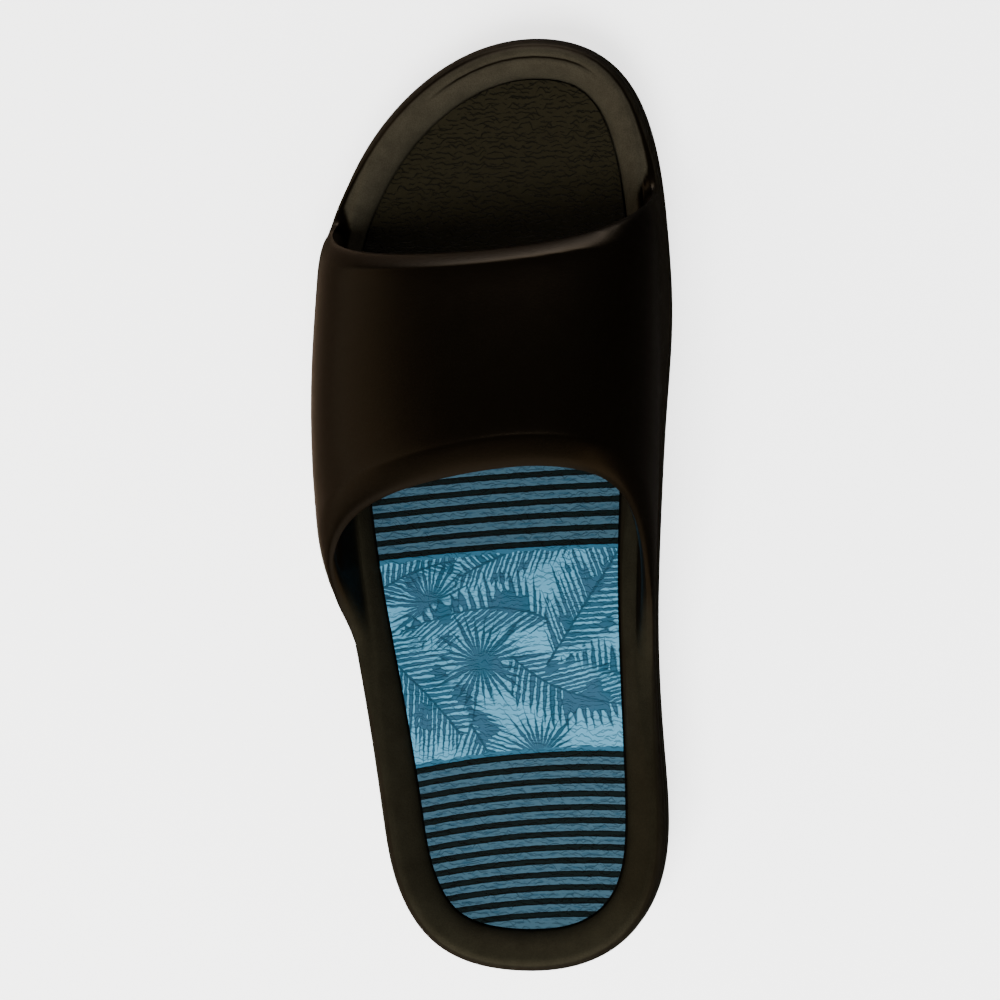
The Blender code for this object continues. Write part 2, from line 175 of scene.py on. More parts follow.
# The rim's matt top ends where the wall turns down, outwards to the side or inwards under the strap. In
# the hollow corners beside the strap's front edge, painted shade covers it and leaves a narrow neck along
# the insole.
WALL_LEAN = (0.34, 0.66)
TOP_UPWARD = (0.25, 0.55)
POCKET_EDGE = (0.0035, 0.0020)
RIM_BELOW = (0.045, 0.036)
CORNER_SLANT = 0.11
CORNER_FROM = 0.0885
CORNER_BACK = (0.0, 0.02)
CORNER_NECK = 0.0040
CORNER_TAPER = 0.59
CORNER_SOFT = 0.0010
TOE_FROM = (0.070, 0.090)
TOE_RIM_WIDE = (0.0086, 0.0094)
INSIDE_LEAN = (0.2, 0.5)
INSIDE_UPWARD = (0.35, 0.15)
leaning_out = np.einsum("ij,ij->i", normals[:, :2], outward)
low_down = soft_step(points[:, 2], *RIM_BELOW)
upward = np.maximum(soft_step(normals[:, 2], *TOP_UPWARD), soft_step(from_insole, *POCKET_EDGE))
along_foot = points[:, 1] - CORNER_SLANT * points[:, 0]
neck = CORNER_NECK + CORNER_TAPER * np.maximum(along_foot - CORNER_FROM, 0.0)
# Painted shade in the hollow corners beside the strap's front edge: the rim's top colour is taken away
# there.
corner_shade = soft_step(from_insole, neck, neck + CORNER_SOFT) * soft_step(along_foot, *CORNER_BACK)
to_middle = -np.sign(points[:, 0]) * normals[:, 0]
to_foot = np.maximum(soft_step(to_middle, *INSIDE_LEAN), soft_step(-normals[:, 2], *INSIDE_LEAN))
at_toe = soft_step(points[:, 1], *TOE_FROM)
turned_out = soft_step(leaning_out, *WALL_LEAN)
past_rim = turned_out + at_toe * (soft_step(from_insole, *TOE_RIM_WIDE) - turned_out)
store(body, "rim_top", (1 - past_rim) * upward * low_down * (1 - corner_shade))
store(body, "outer_wall", turned_out * low_down)
store(body, "inside_wall", to_foot * soft_step(normals[:, 2], *INSIDE_UPWARD))
store(body, "from_insole", from_insole * TO_MM)
store(body, "at_toe_tip", fade)


class Reading:
    """A number that changes over a surface: a shader node's output, with sums as arithmetic."""

    def __init__(self, socket):
        self.socket = socket
        self.tree = socket.id_data

    def math(self, operation, *others):
        node = self.tree.nodes.new("ShaderNodeMath")
        node.operation = operation
        for place, value in enumerate((self, *others)):
            feed(value, node.inputs[place])
        return Reading(node.outputs[0])

    def __add__(self, other):
        return self.math("ADD", other)

    def __sub__(self, other):
        return self.math("SUBTRACT", other)

    def __mul__(self, other):
        return self.math("MULTIPLY", other)

    def __truediv__(self, other):
        return self.math("DIVIDE", other)

    def step(self, low, high):
        """0 below low, 1 above high, and a soft step between; high may lie below low."""
        node = self.tree.nodes.new("ShaderNodeMapRange")
        node.interpolation_type = "SMOOTHSTEP"
        feed(self, node.inputs["Value"])
        feed(low, node.inputs["From Min"])
        feed(high, node.inputs["From Max"])
        return Reading(node.outputs["Result"])


def feed(value, socket):
    """Links a reading to a socket, or sets a plain value on it."""
    if isinstance(value, Reading):
        value.tree.links.new(value.socket, socket)
    else:
        socket.default_value = value


def number(tree, value):
    """A plain number as a reading, for sums that begin with one."""
    node = tree.nodes.new("ShaderNodeValue")
    node.outputs[0].default_value = value
    return Reading(node.outputs[0])


def object_place(tree):
    """The place on the piece in millimetres, as a vector reading."""
    place = tree.nodes.new("ShaderNodeTexCoord")
    scale = tree.nodes.new("ShaderNodeVectorMath")
    scale.operation = "SCALE"
    scale.inputs["Scale"].default_value = TO_MM
    tree.links.new(place.outputs["Object"], scale.inputs[0])
    return Reading(scale.outputs[0])


def apart(vector):
    """The three numbers of a vector reading."""
    node = vector.tree.nodes.new("ShaderNodeSeparateXYZ")
    feed(vector, node.inputs[0])
    return [Reading(output) for output in node.outputs]


def stretched(vector, x, y, z):
    """A vector reading with its three numbers scaled."""
    node = vector.tree.nodes.new("ShaderNodeVectorMath")
    node.operation = "MULTIPLY"
    feed(vector, node.inputs[0])
    node.inputs[1].default_value = (x, y, z)
    return Reading(node.outputs[0])


PLAIN = {"detail": 1.0, "roughness": 0.5}
GRAINY = {"detail": 3.0, "roughness": 0.6}


def noise(vector, scale, detail=2.0, roughness=0.5):
    """Smooth noise between 0 and 1."""
    node = vector.tree.nodes.new("ShaderNodeTexNoise")
    feed(vector, node.inputs["Vector"])
    node.inputs["Scale"].default_value = scale
    node.inputs["Detail"].default_value = detail
    node.inputs["Roughness"].default_value = roughness
    return Reading(node.outputs["Fac"])


def blended(share, first, second):
    """A mix of two colours by a reading; each is a plain colour or a reading."""
    node = share.tree.nodes.new("ShaderNodeMix")
    node.data_type = "RGBA"
    feed(share, node.inputs["Factor"])
    for value, name in ((first, "A"), (second, "B")):
        socket = next(s for s in node.inputs if s.name == name and s.type == "RGBA")
        feed(value if isinstance(value, Reading) else (*value, 1.0), socket)
    return Reading(next(s for s in node.outputs if s.type == "RGBA"))


def new_material(name):
    """A new node material, its tree and its shader."""
    material = bpy.data.materials.new(name)
    material.use_nodes = True
    return material, material.node_tree, material.node_tree.nodes["Principled BSDF"]


def raised(height, depth, shader):
    """Feeds a height reading, 1 standing for depth in metres, to the shader's normal."""
    bump = height.tree.nodes.new("ShaderNodeBump")
    bump.inputs["Strength"].default_value = 1.0
    bump.inputs["Distance"].default_value = depth
    feed(height, bump.inputs["Height"])
    height.tree.links.new(bump.outputs["Normal"], shader.inputs["Normal"])


def kept_value(tree, name):
    """A number that was stored for each point of the piece."""
    node = tree.nodes.new("ShaderNodeAttribute")
    node.attribute_name = name
    return Reading(node.outputs["Fac"])


def group_with(name, inputs, outputs):
    """A node group with number inputs after its place, and number outputs."""
    group = bpy.data.node_groups.new(name, "ShaderNodeTree")
    group.interface.new_socket("Place", in_out="INPUT", socket_type="NodeSocketVector")
    for label in inputs:
        group.interface.new_socket(label, in_out="INPUT", socket_type="NodeSocketFloat")
    for label in outputs:
        group.interface.new_socket(label, in_out="OUTPUT", socket_type="NodeSocketFloat")
    start = group.nodes.new("NodeGroupInput")
    given = {socket.name: Reading(socket) for socket in start.outputs if socket.name}
    return group, given, group.nodes.new("NodeGroupOutput")


def placed(group, tree, **values):
    """A group's node in a material, with its inputs set; its outputs come back by name."""
    node = tree.nodes.new("ShaderNodeGroup")
    node.node_tree = group
    for name, value in values.items():
        feed(value, node.inputs[name.replace("_", " ")])
    return {output.name: Reading(output) for output in node.outputs}


GRAIN_SCALE = 1.9
MOTTLE_SCALE = 0.16


def grain_group():
    """Fine moulded grain of foam rubber: a height of about 0 to 1, and a slow mottle of 0 to 1."""
    group, given, ends = group_with("moulded_grain", (), ("Height", "Mottle"))
    feed(noise(given["Place"], GRAIN_SCALE, **GRAINY), ends.inputs["Height"])
    feed(noise(given["Place"], MOTTLE_SCALE, **GRAINY), ends.inputs["Mottle"])
    return group


# The blacks of the body. The rim's tone changes along the foot, partly its own and partly painted light.
STRAP_BLACK = (0.0012, 0.0008, 0.0004)
# Painted light: the side walls are lighter than the strap, for the light they catch.
WALL_LIT_BLACK = (0.0062, 0.0053, 0.0033)
DEEP_BLACK = (0.0012, 0.0009, 0.0005)
TOE_RIM_BLACK = (0.0252, 0.0222, 0.0148)
HEEL_RIM_BLACK = (0.0080, 0.0076, 0.0047)
# Painted shade darkens the rim on the inner side of the heel.
HEEL_INNER_SHADE_BLACK = (0.0064, 0.0058, 0.0033)
# Painted light lightens the rim at the heel's end.
HEEL_END_LIT_BLACK = (0.0168, 0.0156, 0.0095)
TOE_TONE_FROM = (15.0, 75.0)
HEEL_INNER_ACROSS = (18.0, 30.0)
HEEL_INNER_FROM = (-55.0, -85.0)
HEEL_END_FROM = (-112.0, -136.0)

# Darker speckles on the rim, long streaks off the rim, a slow mottle on all of it, and painted shade in
# the groove.
SPECKLE_SCALE = 2.6
SPECKLE_ROUGHNESS = 0.6
SPECKLE_STEP = (0.35, 0.7)
SPECKLE_DARK = 0.3
STREAK_STRETCH = (0.55, 0.02, 0.12)
STREAK_STEP = (0.3, 0.75)
STREAK_DARK = 0.4
MOTTLE_STEP = (0.3, 0.8)
MOTTLE_DARK = 0.3
GROOVE_SHADE = (0.5, 0.15)

# How satin the strap is, what makes the other faces more matt, and how deep the grain stands.
STRAP_ROUGHNESS = 0.29
RIM_MATT = 0.24
WALL_MATT = 0.3
INSIDE_MATT = 0.7
MOTTLE_MATT = 0.08
RUBBER_GLOSS = 0.06
RUBBER_GLOSS_TINT = (1.0, 0.70, 0.40, 1.0)
GRAIN_DEPTH = 0.00011
STRAP_GRAIN = 0.25
rubber, tree, shader = new_material("black_foam_rubber")
place = object_place(tree)
x, y, _ = apart(place)
skin = placed(grain_group(), tree, Place=place)
rim_share = kept_value(tree, "rim_top")
wall_share = kept_value(tree, "outer_wall")
# The rim is lighter towards the toe: partly its own tone, partly painted light.
rim_colour = blended(y.step(*TOE_TONE_FROM), HEEL_RIM_BLACK, TOE_RIM_BLACK)
# Painted shade: the rim is darker on the inner side of the heel.
heel_inner_shade = x.step(*HEEL_INNER_ACROSS) * y.step(*HEEL_INNER_FROM)
rim_colour = blended(heel_inner_shade, rim_colour, HEEL_INNER_SHADE_BLACK)
# Painted light: the rim is lighter at the end of the heel.
rim_colour = blended(y.step(*HEEL_END_FROM), rim_colour, HEEL_END_LIT_BLACK)
speckle = noise(place, SPECKLE_SCALE, roughness=SPECKLE_ROUGHNESS).step(*SPECKLE_STEP)
rim_colour = blended(speckle * SPECKLE_DARK, rim_colour, DEEP_BLACK)
# Painted light: the sole's side walls are lighter than the strap, for the light they catch.
colour = blended(wall_share, STRAP_BLACK, WALL_LIT_BLACK)
colour = blended(rim_share, colour, rim_colour)
off_rim = number(tree, 1.0) - rim_share
streak = noise(stretched(place, *STREAK_STRETCH), 1.0, **GRAINY).step(*STREAK_STEP)
shade = skin["Mottle"].step(*MOTTLE_STEP) * MOTTLE_DARK + streak * off_rim * STREAK_DARK
# Painted shade along the groove round the toe tip.
off_groove = (kept_value(tree, "from_insole") - GROOVE_OUT * TO_MM).math("ABSOLUTE")
in_shade = off_groove.step(*GROOVE_SHADE) * kept_value(tree, "at_toe_tip")
feed(blended(shade.math("MAXIMUM", in_shade), colour, DEEP_BLACK), shader.inputs["Base Color"])
matt = rim_share * RIM_MATT + wall_share * WALL_MATT + kept_value(tree, "inside_wall") * INSIDE_MATT
feed(matt + skin["Mottle"] * MOTTLE_MATT + STRAP_ROUGHNESS, shader.inputs["Roughness"])
shader.inputs["Specular IOR Level"].default_value = RUBBER_GLOSS
shader.inputs["Specular Tint"].default_value = RUBBER_GLOSS_TINT
raised(skin["Height"] * (rim_share * (1.0 - STRAP_GRAIN) + STRAP_GRAIN), GRAIN_DEPTH, shader)
body.data.materials.append(rubber)
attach(body, "root")
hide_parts("upper_and_sole")

# The insole. A thin black foam sheet with a crinkled top, cut to outline and laid in the footbed. Its
# rear two thirds are printed in blues: stripes, a panel of palm leaves, and stripes round the heel.
INSOLE_ROUNDING = 2
insole = copy_of_solid("insole", "printed_insole")
keep_crisp_and_round(insole, INSOLE_ROUNDING)

# The creases, in two crossing sets: pitch and length in millimetres, and sway in pitches.
CREASE_SETS = (
    {"pitch": 1.5, "sway": 1.9, "length": 3.0, "seed": 0.0},
    {"pitch": 2.1, "sway": 3.2, "length": 4.1, "seed": 31.0},
)
CREASE_HALF = 0.25
CREASE_SOFT = 0.7
CREASE_SHOWN = (0.36, 0.54)
CREASE_ROW_SEED = 5.7
WAVE_ALONG = 0.45
RIPPLE_ACROSS = 2.6
RIPPLE_ALONG = 0.5
RIPPLE_SWAY = 0.7
FOAM_STRETCH = (1.2, 2.4, 1.0)
FOAM_HEIGHT = 0.35


def flat_vector(x, y):
    """A flat vector reading from two numbers."""
    node = x.tree.nodes.new("ShaderNodeCombineXYZ")
    feed(x, node.inputs[0])
    feed(y, node.inputs[1])
    return Reading(node.outputs[0])


def crinkle_group():
    """The crinkled top of the sheet: short wavy creases that run across the foot."""
    group, given, ends = group_with("crinkled_sheet", (), ("Height", "Crease"))
    place = given["Place"]
    x, y, _ = apart(place)
    crease = number(group, 0.0)
    for sizes in CREASE_SETS:
        pitch = sizes["pitch"]
        length = sizes["length"]
        wave = noise(stretched(place, 1.0 / length, WAVE_ALONG / length, 0.0), 1.0, **PLAIN)
        ripple_place = stretched(place, RIPPLE_ACROSS / length, RIPPLE_ALONG / length, 0.0)
        rows = y / pitch + wave * sizes["sway"] + noise(ripple_place, 1.0, **PLAIN) * RIPPLE_SWAY
        row = (rows + 0.5).math("FLOOR")
        off = (rows - row).math("ABSOLUTE") * pitch
        stretch = flat_vector(x / length, row * CREASE_ROW_SEED + sizes["seed"])
        shown = noise(stretch, 1.0, **PLAIN).step(*CREASE_SHOWN)
        depth = (shown * CREASE_HALF - off).step(0.0, CREASE_HALF * CREASE_SOFT) * shown
        crease = crease.math("MAXIMUM", depth)
    foam = noise(stretched(place, *FOAM_STRETCH), 1.0, **GRAINY)
    feed(foam * FOAM_HEIGHT - crease, ends.inputs["Height"])
    feed(crease, ends.inputs["Crease"])
    return group


def chance(reading, low, high):
    """A fixed chance value between low and high for each whole number."""
    node = reading.tree.nodes.new("ShaderNodeTexWhiteNoise")
    node.noise_dimensions = "1D"
    feed(reading, node.inputs["W"])
    return Reading(node.outputs["Value"]) * (high - low) + low


UNEVEN_SWING = 1.4
PATCH_SCALE = 0.11
PATCH_STEP = (0.575, 0.635)


def uneven(reading, seed, pace):
    """A slow unevenness along a reading, with its own seed."""
    return (noise(flat_vector(reading * pace, seed), 1.0, **PLAIN) - 0.5) * UNEVEN_SWING


def run_together(place):
    """Patches where the blades of the printed leaves run together, 1 inside a patch."""
    return noise(place, PATCH_SCALE).step(*PATCH_STEP)


def turned_to(given):
    """A place seen from a leaf's root: how far along its heading, and how far to the left of it."""
    x, y, _ = apart(given["Place"])
    dx = x - given["Root X"]
    dy = y - given["Root Y"]
    cosine = given["Heading"].math("COSINE")
    sine = given["Heading"].math("SINE")
    return dx * cosine + dy * sine, dy * cosine - dx * sine


# A frond's leaflets: lengths are shares of its half width, widths are shares of the pitch. The ink's
# edge, the midrib and its bare stalk are in millimetres.
FROND_DRIFT = 0.22
FROND_ALTERNATE = 0.45
FROND_SIDE_SEED = 57.0
FROND_WIDTH_SEED = 0.5
FROND_SWELL = 2.45
FROND_SWELL_FROM = 0.565
FROND_SHORTEST = 0.05
FROND_LENGTHS = (0.75, 1.15)
FROND_HALVES = (0.285, 0.405)
FROND_RUN_TOGETHER = 0.42
FROND_INK_EDGE = 0.14
FROND_OUTLINE = 2.4
FROND_MIDRIB = (0.5, 0.25)
FROND_STALK = 4.0
FROND_COVERS = (0.85, 0.55)


def frond_group():
    """A feather palm frond: pointed leaflets on both sides of a bent midrib."""
    labels = ("Root X", "Root Y", "Heading", "Length", "Half Width", "Bend", "Pitch", "Lean", "Seed")
    group, given, ends = group_with("feather_frond", labels, ("Area", "Leaf", "Line"))
    along, left = turned_to(given)
    off = left - given["Bend"] * along * along
    side = off.math("ABSOLUTE")
    root = along - side * given["Lean"]
    share = root / given["Length"]
    left_side = off.math("GREATER_THAN", 0.0)
    drift = uneven(root, given["Seed"], FROND_DRIFT)
    count = root / given["Pitch"] + drift + left_side * FROND_ALTERNATE
    which = left_side * FROND_SIDE_SEED + count.math("FLOOR") + given["Seed"]
    across = (count.math("FRACT") - 0.5).math("ABSOLUTE")
    swell = (share * FROND_SWELL + FROND_SWELL_FROM).math("SINE").math("MAXIMUM", FROND_SHORTEST)
    reach = side / (given["Half Width"] * swell * chance(which, *FROND_LENGTHS))
    filled = run_together(given["Place"]) * FROND_RUN_TOGETHER
    widest = chance(which + FROND_WIDTH_SEED, *FROND_HALVES) + filled
    half = (number(group, 1.0) - reach * reach) * widest
    on_rib = share.math("GREATER_THAN", 0.0) * share.math("LESS_THAN", 1.0)
    edge = given["Pitch"].math("POWER", -1.0) * FROND_INK_EDGE
    leaf = (half - across).step(0.0, edge) * on_rib
    off_outline = (half - across - edge).math("ABSOLUTE").step(edge, edge * FROND_OUTLINE)
    outline = (number(group, 1.0) - off_outline) * on_rib * half.math("GREATER_THAN", 0.0)
    in_length = (given["Length"] - along).math("GREATER_THAN", 0.0)
    rib = side.step(*FROND_MIDRIB) * along.math("GREATER_THAN", -FROND_STALK) * in_length
    feed(on_rib * reach.step(*FROND_COVERS), ends.inputs["Area"])
    feed(leaf.math("MAXIMUM", rib), ends.inputs["Leaf"])
    feed(outline.math("MAXIMUM", rib), ends.inputs["Line"])
    return group


# A fan leaf's blades: lengths are shares of its radius, widths are shares of the way between two blades.
FAN_DRIFT = 2.5
FAN_LENGTHS = (0.70, 1.12)
FAN_TAPER = (1.0, 0.12)
FAN_HALF = 0.5
FAN_RUN_TOGETHER = 0.35
FAN_INK_EDGE = 0.06
FAN_OUTLINE = 0.14
FAN_FOLD = (0.10, 0.04)
FAN_FOLD_ROOT = (0.05, 0.2)
FAN_FOLD_TIP = (0.75, 0.3)
FAN_COVERS = (0.70, 0.45)


def fan_group():
    """A fan palm leaf: pointed blades that spread from one point and grow together near it."""
    labels = ("Root X", "Root Y", "Heading", "Spread", "Radius", "Blades", "Seed")
    group, given, ends = group_with("fan_leaf", labels, ("Area", "Leaf", "Line"))
    along, left = turned_to(given)
    radius = (along * along + left * left).math("SQRT")
    turn = left.math("ARCTAN2", along)
    count = turn * given["Blades"] / (2 * math.pi) + uneven(turn, given["Seed"], FAN_DRIFT)
    which = count.math("FLOOR") + given["Seed"]
    across = (count.math("FRACT") - 0.5).math("ABSOLUTE")
    reach = radius / (given["Radius"] * chance(which, *FAN_LENGTHS))
    widest = run_together(given["Place"]) * FAN_RUN_TOGETHER + FAN_HALF
    half = reach.step(*FAN_TAPER) * widest
    inside = (given["Spread"] - turn.math("ABSOLUTE")).math("GREATER_THAN", 0.0)
    inside = inside * reach.math("LESS_THAN", 1.0)
    leaf = (half - across).step(0.0, FAN_INK_EDGE) * inside
    off_outline = (half - across - FAN_INK_EDGE).math("ABSOLUTE")
    outline = off_outline.step(FAN_OUTLINE, FAN_INK_EDGE) * inside
    fold = across.step(*FAN_FOLD) * reach.step(*FAN_FOLD_TIP) * reach.step(*FAN_FOLD_ROOT) * inside
    feed(inside * reach.step(*FAN_COVERS), ends.inputs["Area"])
    feed(leaf, ends.inputs["Leaf"])
    feed(outline.math("MAXIMUM", fold), ends.inputs["Line"])
    return group


# Each leaf of the print, from the lowest to the topmost: its root in millimetres, heading in degrees and
# sizes. The leaves lie over each other across the panel and are cut off at its edges.
LEAVES = (
    {"kind": "frond", "Root_X": 43.0, "Root_Y": -52.0, "Heading": 164.0, "Length": 26.0,
     "Half_Width": 12.0, "Bend": 0.014, "Pitch": 2.1, "Lean": 0.35, "Seed": 31.0},
    {"kind": "frond", "Root_X": 26.0, "Root_Y": -9.0, "Heading": 190.0, "Length": 40.0,
     "Half_Width": 13.0, "Bend": 0.005, "Pitch": 1.9, "Lean": 0.60, "Seed": 61.0},
    {"kind": "frond", "Root_X": -40.0, "Root_Y": -31.0, "Heading": 42.0, "Length": 30.0,
     "Half_Width": 12.0, "Bend": -0.010, "Pitch": 1.9, "Lean": 0.80, "Seed": 37.0},
    {"kind": "fan", "Root_X": -19.0, "Root_Y": -31.0, "Heading": 200.0, "Spread": 3.2,
     "Radius": 17.0, "Blades": 32.0, "Seed": 5.0},
    {"kind": "frond", "Root_X": 18.0, "Root_Y": -36.0, "Heading": 150.0, "Length": 38.0,
     "Half_Width": 14.0, "Bend": 0.018, "Pitch": 2.1, "Lean": 0.55, "Seed": 11.0},
    {"kind": "frond", "Root_X": -12.0, "Root_Y": -56.0, "Heading": -66.0, "Length": 27.0,
     "Half_Width": 10.0, "Bend": 0.004, "Pitch": 2.0, "Lean": 0.95, "Seed": 53.0},
    {"kind": "frond", "Root_X": -38.0, "Root_Y": -42.0, "Heading": -38.0, "Length": 40.0,
     "Half_Width": 17.0, "Bend": -0.003, "Pitch": 2.1, "Lean": 0.85, "Seed": 19.0},
    {"kind": "frond", "Root_X": 5.5, "Root_Y": -46.0, "Heading": -47.0, "Length": 39.0,
     "Half_Width": 15.0, "Bend": 0.013, "Pitch": 2.1, "Lean": 0.70, "Seed": 23.0},
    {"kind": "frond", "Root_X": 19.0, "Root_Y": -46.0, "Heading": 58.0, "Length": 39.0,
     "Half_Width": 16.5, "Bend": 0.0, "Pitch": 2.1, "Lean": 0.75, "Seed": 3.0},
    {"kind": "fan", "Root_X": 15.0, "Root_Y": -77.0, "Heading": 92.0, "Spread": 1.6,
     "Radius": 17.0, "Blades": 32.0, "Seed": 47.0},
    {"kind": "fan", "Root_X": -3.5, "Root_Y": -48.5, "Heading": 90.0, "Spread": 3.2,
     "Radius": 18.0, "Blades": 28.0, "Seed": 41.0},
)

# Where the print lies, in millimetres along the foot at its inner side. Each block of stripes gives its
# first and last dark line. Towards the outer side the lines fall back, sloped in front, bowed at the heel.
PRINT_START = 33.0
PRINT_INNER_SIDE = 38.3
FRONT_STRIPES = {"first": 30.8, "last": -11.8, "pitch": 4.26, "wide": 1.86}
HEEL_STRIPES = {"first": -76.3, "last": -124.7, "pitch": 4.03, "wide": 1.86}
HEEL_BOW_FROM = (-20.0, -85.0)
STRIPE_SLOPE = 0.030
STRIPE_BOW_FRONT = 0.0006
STRIPE_BOW_HEEL = 0.0016
STRIPE_WOBBLE = 0.5
WOBBLE_STRETCH = (0.35, 0.35, 0.0)
BLOCK_SOFT = 0.05
INK_SOFT = 0.1
LINE_EDGE_WIDE = 0.5
PANEL_BORDER = 2.2
BORDER_RAGGED = 2.4
RAGGED_STRETCH = (0.3, 0.3, 0.0)
HAND_SCALE = 0.5
HAND_WOBBLE = (0.9, 0.9, 0.0)

# The colours of the sheet, the painted shade of its creases and the inks, and how far the inks cover and
# fade.
SHEET_BLACK = (0.0090, 0.0077, 0.0041)
CREASE_SHADE_DARK = (0.0012, 0.0014, 0.0014)
CREASE_SHADE_BLUE = (0.0060, 0.0220, 0.0360)
STRIPE_BLUE = (0.0260, 0.060, 0.084)
STRIPE_DEEP = (0.0085, 0.032, 0.052)
BORDER_BLUE = (0.018, 0.070, 0.114)
LINE_BLACK = (0.0022, 0.0048, 0.0050)
LINE_EDGE_SHADE = (0.0008, 0.0012, 0.0014)
GROUND_BLUE = (0.070, 0.234, 0.352)
GROUND_FADE = 0.86
GROUND_FADED = tuple(GROUND_FADE * part for part in GROUND_BLUE)
LEAF_BLUE = (0.0150, 0.0445, 0.076)
LEAF_TEAL = (0.0085, 0.039, 0.067)
LEAF_DARK = (0.0050, 0.021, 0.035)
GROUND_SCALE = 0.09
GROUND_STEP = (0.3, 0.7)
TEAL_SCALE = 0.08
TEAL_STEP = (0.44, 0.64)
LEAF_COVER = 0.92
OUTLINE_COVER = 0.55
STRIPE_STREAK_STRETCH = (0.32, 0.95, 0.0)
STRIPE_STREAK_STEP = (0.42, 0.64)
STRIPE_STREAK_COVER = 0.8

# How far the painted shade of the creases shows over the ink, on bare sheet and on leaves, and the sheet's
# finish.
CREASE_SHADE_COVER = 0.48
CREASE_MORE_BARE = 0.25
CREASE_LESS_LEAF = 0.32
INK_ROUGHNESS = 0.62
BARE_SMOOTHER = -0.08
SHEET_GLOSS = 0.035
SHEET_GLOSS_TINT = (1.0, 0.88, 0.72, 1.0)
RELIEF_DEPTH = 0.00018
INK_HEIGHT = 0.35


def within(reading, low, high, soft):
    """1 between low and high, with a soft edge just inside both."""
    return reading.step(low, low + soft) * reading.step(high, high - soft)


def stripes(down_print, sizes):
    """A block's dark lines, painted shade on the lines' edges below the raised ink, and the middles of the
    blue stripes.
    """
    half = sizes["wide"] / 2
    count = (number(down_print.tree, sizes["first"]) - down_print) / sizes["pitch"]
    off = ((count + 0.5).math("FRACT") - 0.5).math("ABSOLUTE") * sizes["pitch"]
    front = sizes["first"] + sizes["wide"] + BLOCK_SOFT
    block = within(down_print, sizes["last"] - sizes["wide"], front, BLOCK_SOFT)
    line = off.step(half + INK_SOFT, half - INK_SOFT) * block
    # Painted shade along the edges of the dark lines, below the raised ink.
    edge = off.step(half - LINE_EDGE_WIDE, half - INK_SOFT) * line
    return line, edge, off.step(half + INK_SOFT, sizes["pitch"] / 2) * block


def hand_drawn(place):
    """The place shifted a little to and fro, as lines drawn by hand wander."""
    jitter = place.tree.nodes.new("ShaderNodeTexNoise")
    jitter.inputs["Scale"].default_value = HAND_SCALE
    feed(place, jitter.inputs["Vector"])
    warp = place.tree.nodes.new("ShaderNodeVectorMath")
    warp.operation = "MULTIPLY_ADD"
    place.tree.links.new(jitter.outputs["Color"], warp.inputs[0])
    warp.inputs[1].default_value = HAND_WOBBLE
    feed(place, warp.inputs[2])
    return Reading(warp.outputs[0])


printed, tree, shader = new_material("printed_foam_sheet")
place = object_place(tree)
x, y, _ = apart(place)
crinkle = placed(crinkle_group(), tree, Place=place)
outwards = number(tree, PRINT_INNER_SIDE) - x
heel_share = y.step(*HEEL_BOW_FROM)
bow = heel_share * (STRIPE_BOW_HEEL - STRIPE_BOW_FRONT) + STRIPE_BOW_FRONT
slope = (number(tree, 1.0) - heel_share) * STRIPE_SLOPE
wobble = (noise(stretched(place, *WOBBLE_STRETCH), 1.0, **GRAINY) - 0.5) * STRIPE_WOBBLE
down_print = y + outwards * slope + outwards * outwards * bow + wobble
ragged = down_print + (noise(stretched(place, *RAGGED_STRETCH), 1.0) - 0.5) * BORDER_RAGGED
panel_back = HEEL_STRIPES["first"]
panel_front = FRONT_STRIPES["last"]
panel = within(ragged, panel_back + PANEL_BORDER, panel_front - PANEL_BORDER, INK_SOFT)
bordered = within(down_print, panel_back, panel_front, INK_SOFT)
ground = blended(noise(place, GROUND_SCALE).step(*GROUND_STEP), GROUND_BLUE, GROUND_FADED)
leaf_blue = blended(noise(place, TEAL_SCALE).step(*TEAL_STEP), LEAF_BLUE, LEAF_TEAL)
drawn_place = hand_drawn(place)
leaves = ground
leafy = number(tree, 0.0)
kinds = {"frond": frond_group(), "fan": fan_group()}
for row in LEAVES:
    sizes = {name: value for name, value in row.items() if name != "kind"}
    sizes["Heading"] = math.radians(row["Heading"])
    leaf = placed(kinds[row["kind"]], tree, Place=drawn_place, **sizes)
    leaves = blended(leaf["Area"], leaves, ground)
    leaves = blended(leaf["Leaf"] * LEAF_COVER, leaves, leaf_blue)
    leaves = blended(leaf["Line"] * OUTLINE_COVER, leaves, LEAF_DARK)
    leafy = leafy.math("MAXIMUM", leaf["Leaf"])
front_line, front_edge_shade, front_middle = stripes(down_print, FRONT_STRIPES)
heel_line, heel_edge_shade, heel_middle = stripes(down_print, HEEL_STRIPES)
streaks = noise(stretched(place, *STRIPE_STREAK_STRETCH), 1.0, **GRAINY).step(*STRIPE_STREAK_STEP)
deep = streaks * front_middle.math("MAXIMUM", heel_middle) * STRIPE_STREAK_COVER
stripe_blue = blended(deep, STRIPE_BLUE, STRIPE_DEEP)
blue = blended(bordered, stripe_blue, blended(panel, BORDER_BLUE, leaves))
dark_lines = front_line.math("MAXIMUM", heel_line)
line_colour = blended(front_edge_shade.math("MAXIMUM", heel_edge_shade), LINE_BLACK, LINE_EDGE_SHADE)
unprinted = down_print.step(PRINT_START, PRINT_START + INK_SOFT)
print_colour = blended(unprinted, blended(dark_lines, blue, line_colour), SHEET_BLACK)
bare = dark_lines.math("MAXIMUM", unprinted)
